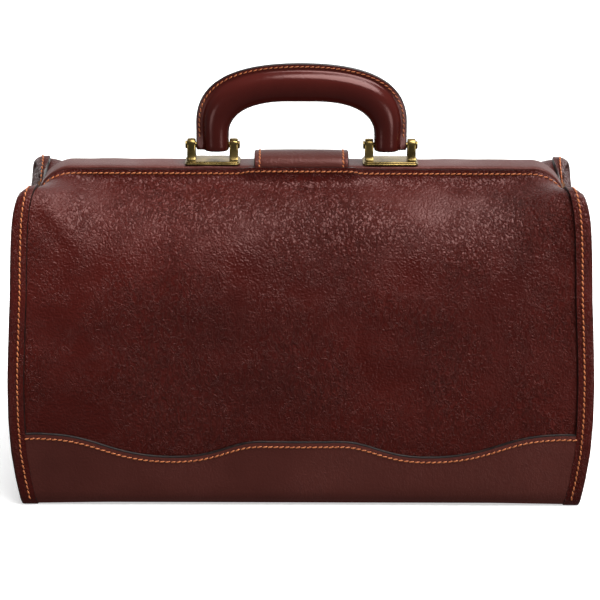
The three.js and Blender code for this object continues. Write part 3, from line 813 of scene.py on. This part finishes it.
def overlay(side):
    name = HALVES[side][0]
    edge_x, edge_z = scallop()
    along = np.linspace(-1, 1, 131)
    x = along * overlay_end(edge_z[-1])
    top = np.interp(np.abs(x), edge_x, edge_z)
    share = np.linspace(0, 1, 11)
    proud = np.array([1.7] * 11 + [1.5, 0.9]) + 0.2
    grid = np.zeros((13, len(x), 3))
    for j, (u, high) in enumerate(zip(along, top)):
        z = np.concatenate([0.5 + share * (high - 1.2 - 0.5), [high - 0.35, high]])
        lift = 2.0 * (1 - (0.93 * u) ** 2) * np.clip(1 - z / 34, 0, 1)
        grid[:, j] = np.column_stack([u * overlay_end(z), side * (wall_depth(z) + proud), z + lift])
    thickness = np.array([1.55] * 11 + [1.4, 0.8])
    inner = grid.copy()
    inner[:, :, 1] = side * (np.abs(grid[:, :, 1]) - thickness[:, None])
    piece = shell(
        f"{name}_overlay_leather", grid, inner, [trim_leather, flesh_side, edge_dark],
        lambda i, j: i >= 10,
    )
    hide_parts(f"{name}_base_overlay")
    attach(piece, "bag_body")
    z = top - 4.2
    line = np.column_stack([x, side * (wall_depth(z) + 1.95), z])
    up = np.tile([0.0, side, 0.05], (len(x), 1))
    stitches = stitch_run(f"{name}_overlay_stitches", line, up)
    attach(stitches, "bag_body")


for side in (-1, 1):
    overlay(side)


# ---------- base ----------

def rounded_outline(half_x, half_y, radius, steps=8):
    """A rectangle with rounded corners, as points."""
    points = []
    for cx, cy, start in ((1, 1, 0), (-1, 1, 90), (-1, -1, 180), (1, -1, 270)):
        for a in np.radians(np.linspace(start, start + 90, steps)):
            x = cx * (half_x - radius) + radius * math.cos(a)
            y = cy * (half_y - radius) + radius * math.sin(a)
            points.append((x, y))
    return np.array(points)


def layered(name, half_x, half_y, radius, layers, materials, centre=(0, 0)):
    """A rounded plate built up from outlines: each layer is (inset, height)."""
    rings = []
    for inset, z in layers:
        outline = rounded_outline(half_x - inset, half_y - inset, max(0.6, radius - inset))
        rings.append(np.column_stack([outline + np.array(centre), np.full(len(outline), z)]))
    return tube(name, np.array(rings), materials, sharp=50)


def base():
    layers = [(2.2, 0.02), (0.9, 0.1), (0.2, 0.5), (0.0, 1.1), (0.3, 1.7), (1.2, 2.0)]
    leather_base = layered("base_leather", 195.6, 94.8, 9, layers, [wall_leather])
    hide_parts("base_panel")
    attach(leather_base, "bag_body")
    layers = [(0.7, 5.1), (0.2, 5.3), (0.0, 5.6), (0.4, 6.0)]
    cloth = layered("base_lining_cloth", 193, 93.2, 6, layers, [lining_cloth])
    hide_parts("base_lining")
    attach(cloth, "bag_body")


base()


# ---------- leather-covered frame ----------

ARM_FOOT = 160  # the leather on the frame's arms ends here


def arch_path():
    """Places on the frame's outline, from one arm's foot over the top to the other's.

    Each has the place (x, z) and the outward direction."""
    bend, centre = FRAME_TOP - FRAME_RADIUS, FRAME_HALF - FRAME_RADIUS
    places = [((FRAME_HALF, z), (1, 0)) for z in np.linspace(ARM_FOOT, bend, 12)[:-1]]
    for a in np.linspace(0, math.pi / 2, 15):
        out = (math.cos(a), math.sin(a))
        places.append(((centre + FRAME_RADIUS * out[0], bend + FRAME_RADIUS * out[1]), out))
    for x in np.linspace(centre, 0, 34)[1:]:
        places.append(((x, FRAME_TOP), (0, 1)))
    places += [((-p[0], p[1]), (-o[0], o[1])) for p, o in reversed(places[:-1])]
    return places


def frame_cover(side, section):
    """Leather folded over one half of the frame. The section gives (depth below the outline, y)."""
    name = HALVES[side][0]
    rings = []
    for k, (place, out) in enumerate(arch_path()):
        swell = 0.12 * math.sin(k * 0.9) + 0.1 * math.sin(k * 0.37 + 1)
        ring = []
        for depth, y in section:
            d = depth - (swell if depth < 2 else 0)
            ring.append((place[0] - out[0] * d, y, place[1] - out[1] * d))
        rings.append(ring)
    piece = tube(f"{name}_frame_leather", np.array(rings), [trim_leather, edge_dark], cap_slot=1, sharp=55)
    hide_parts(f"{name}_frame_cover")
    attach(piece, HALVES[side][1])


frame_cover(-1, [
    (1.7, 12.0), (0.9, 11.9), (0.35, 11.3), (0.1, 9.8), (0.0, 5), (-0.05, 0), (0.0, -5),
    (0.15, -9), (0.5, -10.9), (1.2, -11.8), (2.4, -12.0), (6, -12.0), (10.6, -12), (11.2, -11.6),
    (11.3, -10.6), (10.8, -9.9), (6, -9.8), (2.9, -9.75), (2.35, -9.3), (2.3, 0), (2.3, 11.4),
    (2.1, 11.9),
])
frame_cover(1, [
    (3.2, 0.7), (2.7, 0.9), (2.55, 2), (2.55, 9.8), (2.8, 11.3), (3.7, 11.95), (7, 12),
    (11.8, 12), (12.4, 11.5), (12.4, 10.4), (11.8, 9.9), (7, 9.85), (4.7, 9.8), (4.15, 9.4),
    (4.1, 2), (4.1, 1.0), (3.8, 0.7),
])


# ---------- handle ----------

HANDLE_HALF, HANDLE_TOP, LEG_FOOT = 76.0, 300, 236.8
GRIP_INNER, GRIP_UNDERSIDE = 52.4, 272.3
FLANGE = 5.2  # width of the sewn edge along the outside of the grip
BODY = 18.4  # width of the padded body in the section below
# half of the grip's section: distance from the inner edge, and half thickness
GRIP_SECTION = np.array([
    (0.0, 0.0), (0.1, 2.8), (0.7, 5.4), (2.1, 7.6), (4.2, 9.1), (6.8, 9.9), (9.6, 10.0),
    (12.2, 9.6), (14.3, 8.6), (16.0, 7.0), (17.2, 4.9), (17.9, 3.2), (18.5, 2.15), (19.4, 1.78),
    (22.7, 1.65), (23.4, 1.2), (23.6, 0.0),
])
FLANGE_TIP = range(14, 18)


def handle_edges(count=34):
    """Matching places on the handle's outer and inner edge, from one leg over the top to the other."""
    outer = np.vstack([
        np.column_stack([np.full(8, HANDLE_HALF), np.linspace(LEG_FOOT, 256, 8)])[:-1],
        bezier((HANDLE_HALF, 256), (HANDLE_HALF, 285), (52, HANDLE_TOP), (0, HANDLE_TOP), 60),
    ])
    inner = np.vstack([
        np.column_stack([np.full(8, GRIP_INNER), np.linspace(LEG_FOOT, 248, 8)])[:-1],
        bezier((GRIP_INNER, 248), (GRIP_INNER, 264), (36, GRIP_UNDERSIDE), (10, GRIP_UNDERSIDE), 50),
        [[0, GRIP_UNDERSIDE]],
    ])
    share = np.linspace(0, 1, count) ** 0.92

    def at(line):
        along = np.concatenate([[0], np.cumsum(np.linalg.norm(np.diff(line, axis=0), axis=1))])
        return np.stack([np.interp(share * along[-1], along, line[:, k]) for k in range(2)], 1)

    outer, inner = at(outer), at(inner)
    mirror = np.array([-1, 1])
    return np.vstack([outer, outer[-2::-1] * mirror]), np.vstack([inner, inner[-2::-1] * mirror])


def grip_ring(o, i):
    """The grip's section between one place on the outer edge and its match on the inner edge."""
    width = np.linalg.norm(o - i)
    out = (o - i) / width
    padded = width - FLANGE
    thicker = 1 + 0.75 * float(smooth((247 - o[1]) / 7))  # the sewn edge near the legs' feet
    ring = []
    for s, y in np.vstack([GRIP_SECTION, GRIP_SECTION[-2:0:-1] * np.array([1, -1])]):
        if s > BODY:
            y = y * thicker
            s = padded + (s - BODY)
        else:
            s = s * (padded / BODY)
        ring.append((i[0] + out[0] * s, y, i[1] + out[1] * s))
    return ring


def handle():
    outer, inner = handle_edges()
    rings = np.array([grip_ring(o, i) for o, i in zip(outer, inner)])
    for k in (0, -1):  # the feet draw in a little
        middle = rings[k].mean(axis=0)
        rings[k] = middle + (rings[k] - middle) * 0.965
    foot, other_foot = rings[1].copy(), rings[-2].copy()
    foot[:, 2] = rings[0][:, 2] + 0.7
    other_foot[:, 2] = rings[-1][:, 2] + 0.7
    rings = np.vstack([rings[:1], [foot], rings[1:-1], [other_foot], rings[-1:]])
    ends = (0, len(rings) - 2)
    piece = tube(
        "handle_leather_grip", rings, [handle_leather, edge_dark],
        lambda i, j: 1 if j in FLANGE_TIP or i in ends else 0, cap_slot=1, sharp=55,
    )
    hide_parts("handle_grip")
    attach(piece, "handle")
    spot = (outer - unit(outer - inner) * 2.5)[2:-2]
    for y, name in ((-1, "rear"), (1, "front")):
        line = np.column_stack([spot[:, 0], np.full(len(spot), y * 1.75), spot[:, 1]])
        up = np.tile([0.0, y, 0.0], (len(line), 1))
        run = stitch_run(f"handle_{name}_stitches", line, up, pitch=3.7, length=3.2, width=0.42)
        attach(run, "handle")


handle()


# ---------- closing strap ----------

# (y, z) along the strap's top face, from the tongue up over the frame to the rear hem
STRAP_LINE = [
    (93.6, 128.3), (91.4, 138.6), (83.6, 157), (72, 178.6), (57.6, 196.8), (41, 210.2),
    (24.5, 220.5), (11.5, 232.8), (0, 236), (-10, 234), (-15.2, 229.2), (-15.6, 223.2),
]
# half of the strap's section: share of the half width, and height; the dip is the stitched groove
STRAP_SECTION = np.array([
    (-1, -1.25), (-0.985, -0.35), (-0.955, 0.0), (-0.915, -0.1), (-0.885, -0.42), (-0.85, -0.1),
    (-0.75, 0.1), (-0.5, 0.22), (-0.25, 0.3), (0, 0.33),
])
STRAP_GROOVE = 0.885


def strap_half_width(y, z):
    """Wide over the frame, narrower on the front wall, rounded in towards the tongue."""
    width = 22 + 12 * smooth((z - 184) / 38)
    if y > 60 and z < 138:
        width = 13 + 9 * math.sqrt(max(0.0, 1 - ((138 - z) / 11) ** 2))
    return width


def strap_stitches(line, out):
    for sign, name in ((-1, "left"), (1, "right")):
        spots, ups = [], []
        for (y, z), n in list(zip(line, out))[3:-1]:
            half = strap_half_width(y, z)
            spots.append((sign * half * STRAP_GROOVE, y + n[0] * -0.55, z + n[1] * -0.55))
            ups.append((0, n[0], n[1]))
        run = stitch_run(f"strap_{name}_stitches", np.array(spots, float), np.array(ups, float))
        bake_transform(run)


def closing_strap():
    line = spline(STRAP_LINE, 84)
    ahead = unit(np.gradient(line, axis=0))
    out = np.column_stack([-ahead[:, 1], ahead[:, 0]])
    if out[len(out) // 2, 1] < 0:
        out = -out
    section = np.vstack([STRAP_SECTION, STRAP_SECTION[-2::-1] * np.array([-1, 1])])
    top, low = [], []
    for k, ((y, z), n) in enumerate(zip(line, out)):
        half = strap_half_width(y, z)
        soft = 1 - 0.9 * smooth((k - 80) / 4)  # the section flattens at the sewn end
        rise = [h * soft - 0.3 for c, h in section]
        top.append([(half * c, y + n[0] * h, z + n[1] * h) for (c, _), h in zip(section, rise)])
        low.append([(half * c, y - n[0] * 2.7, z - n[1] * 2.7) for c, _ in section])
    top, low = np.array(top), np.array(low)
    last = top.shape[1] - 2
    piece = shell(
        "strap_leather", top, low, [trim_leather, flesh_side, edge_dark],
        lambda i, j: j in (0, last) or i == 0,
    )
    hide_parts("strap")
    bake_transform(piece)
    strap_stitches(line, out)


closing_strap()


# ---------- handle brackets ----------

BRACKET_X, LUG_X = 64.2, 12.3  # middle of a bracket, and its lugs' inner faces from there
PLATE_LAYERS = [  # (inset, z)
    (0.7, 227.3), (0.15, 227.42), (0.0, 227.75), (0.1, 228.2), (0.55, 228.45), (0.95, 228.5),
    (1.05, 229.1), (1.4, 229.4), (2.0, 229.5),
]
LUG_SIDE = [(8.6, 229.2), (8.6, 230.0), (7.6, 231.0), (6.3, 233.0), (5.4, 235.6), (4.8, 238)]
LUG_EASE = [  # (place through the thickness, size), for soft edges
    (0, 0.93), (0.35, 0.975), (0.9, 1.0), (3, 1.01), (5.1, 1.0), (5.65, 0.975), (6, 0.93),
]


def lug_outline():
    arc = [(4.6 * math.cos(a), 240 + 4.6 * math.sin(a)) for a in np.radians(np.linspace(0, 180, 15))]
    return np.array(LUG_SIDE + arc + [(-y, z) for y, z in reversed(LUG_SIDE)])


def bracket(sign, name):
    x = sign * BRACKET_X
    plate = layered(f"bracket_plate_{name}", 20, 11, 3.2, PLATE_LAYERS, [brass], (x, 0))
    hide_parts(f"bracket_{name}")
    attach(plate, "rear_frame")
    outline = lug_outline()
    middle = np.array([0, 236.5])
    for side, label in ((-1, "left"), (1, "right")):
        inside = x + side * LUG_X
        rings = []
        for d, size in LUG_EASE:
            ring = middle + (outline - middle) * size
            rings.append(np.column_stack([np.full(len(ring), inside + side * d), ring]))
        lug = tube(f"bracket_{name}_{label}_lug", np.array(rings), [brass], sharp=50)
        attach(lug, "rear_frame")


bracket(-1, "left")
bracket(1, "right")


# ---------- finishes of the CAD pieces that stay ----------

def finish_node(name, surface, bevel):
    """Give a CAD solid its material and softly rounded edges."""
    piece = nodes[name]
    for spot in piece.material_slots:
        spot.material = surface
    weld = piece.modifiers.new("weld", "WELD")
    weld.merge_threshold = 0.00001
    round_off = piece.modifiers.new("bevel", "BEVEL")
    round_off.width = bevel * MM
    round_off.segments = 2
    round_off.limit_method = "ANGLE"
    round_off.angle_limit = math.radians(40)


BARE_PIECES = ("handle_core", "rear_frame_steel", "front_frame_steel")
for name in nodes:
    if name.startswith(("tongue_rivet", "lock_rivet", "hinge_rivet", "handle_pin")):
        finish_node(name, brass, 0.3)
    elif name in ("strap_tongue", "lock_plate", "lock_case", "lock_button", "lock_cylinder"):
        finish_node(name, brass, 0.45)
    elif name.startswith("bracket_screw") or name in BARE_PIECES:
        finish_node(name, bare_steel, 0.3)
    elif name == "base_board":
        finish_node(name, board_fibre, 0.4)


# ---------- floor, light ----------

FLOOR_HALF, FLOOR_Z = 30, -0.0003  # metres
BACKDROP = 0.95  # the backdrop's radius as a share of the floor's half size
WORLD_LIGHT = 0.13
SUNS = (  # name, strength, width of the source, turn in degrees
    ("overhead", 4.1, 50, (8, 20, 0)),
    ("back", 0.9, 70, (-58, 6, 0)),
    ("right_fill", 0.48, 22, (93, 0, 38)),
    ("left_fill", 0.24, 22, (93, 0, -42)),
    ("far_right_fill", 0.42, 22, (82, 0, 140)),
    ("far_left_fill", 0.34, 22, (82, 0, 220)),
)


def staged_surface(name, low_tint, high_tint, rough, gloss, glow):
    """A pale surface with a white glow, for what stands round the bag."""
    n = Nodes(name)
    n.set(Roughness=rough, Specular_IOR_Level=gloss, Emission_Strength=glow)
    n.link(n.blend(n.noise(2), low_tint, high_tint), n.shader.inputs["Base Color"])
    n.shader.inputs["Emission Color"].default_value = (1, 1, 1, 1)
    return n.material


def floor_mesh():
    r, z = FLOOR_HALF, FLOOR_Z
    mesh = bpy.data.meshes.new("floor")
    mesh.from_pydata([(-r, -r, z), (r, -r, z), (r, r, z), (-r, r, z)], [], [(0, 1, 2, 3)])
    grey, pale = (0.82, 0.82, 0.82), (0.86, 0.86, 0.86)
    mesh.materials.append(staged_surface("floor_pale", grey, pale, 0.9, 0.1, 0.55))
    return mesh


def backdrop_mesh():
    mesh = bpy.data.meshes.new("backdrop")
    work = bmesh.new()
    bmesh.ops.create_uvsphere(work, u_segments=48, v_segments=24, radius=BACKDROP * FLOOR_HALF)
    work.to_mesh(mesh)
    work.free()
    black, near_black = (0.0, 0.0, 0.0), (0.01, 0.01, 0.01)
    mesh.materials.append(staged_surface("backdrop_white", black, near_black, 1.0, 0.0, 1.0))
    return mesh


def floor_and_light():
    scene = bpy.context.scene
    for mesh in (floor_mesh(), backdrop_mesh()):
        staged = bpy.data.objects.new(mesh.name, mesh)
        scene.collection.objects.link(staged)
        staged.visible_glossy = False
        staged.visible_diffuse = False
        staged.visible_shadow = False
    world = bpy.data.worlds.new("studio")
    scene.world = world
    world.use_nodes = True
    background = world.node_tree.nodes["Background"]
    background.inputs["Color"].default_value = (1, 1, 1, 1)
    background.inputs["Strength"].default_value = WORLD_LIGHT
    for name, strength, width, turn in SUNS:
        light = bpy.data.lights.new(name, "SUN")
        light.energy = strength
        light.angle = math.radians(width)
        lamp = bpy.data.objects.new(name, light)
        lamp.rotation_euler = [math.radians(a) for a in turn]
        scene.collection.objects.link(lamp)
    scene.view_settings.view_transform = "Standard"


floor_and_light()
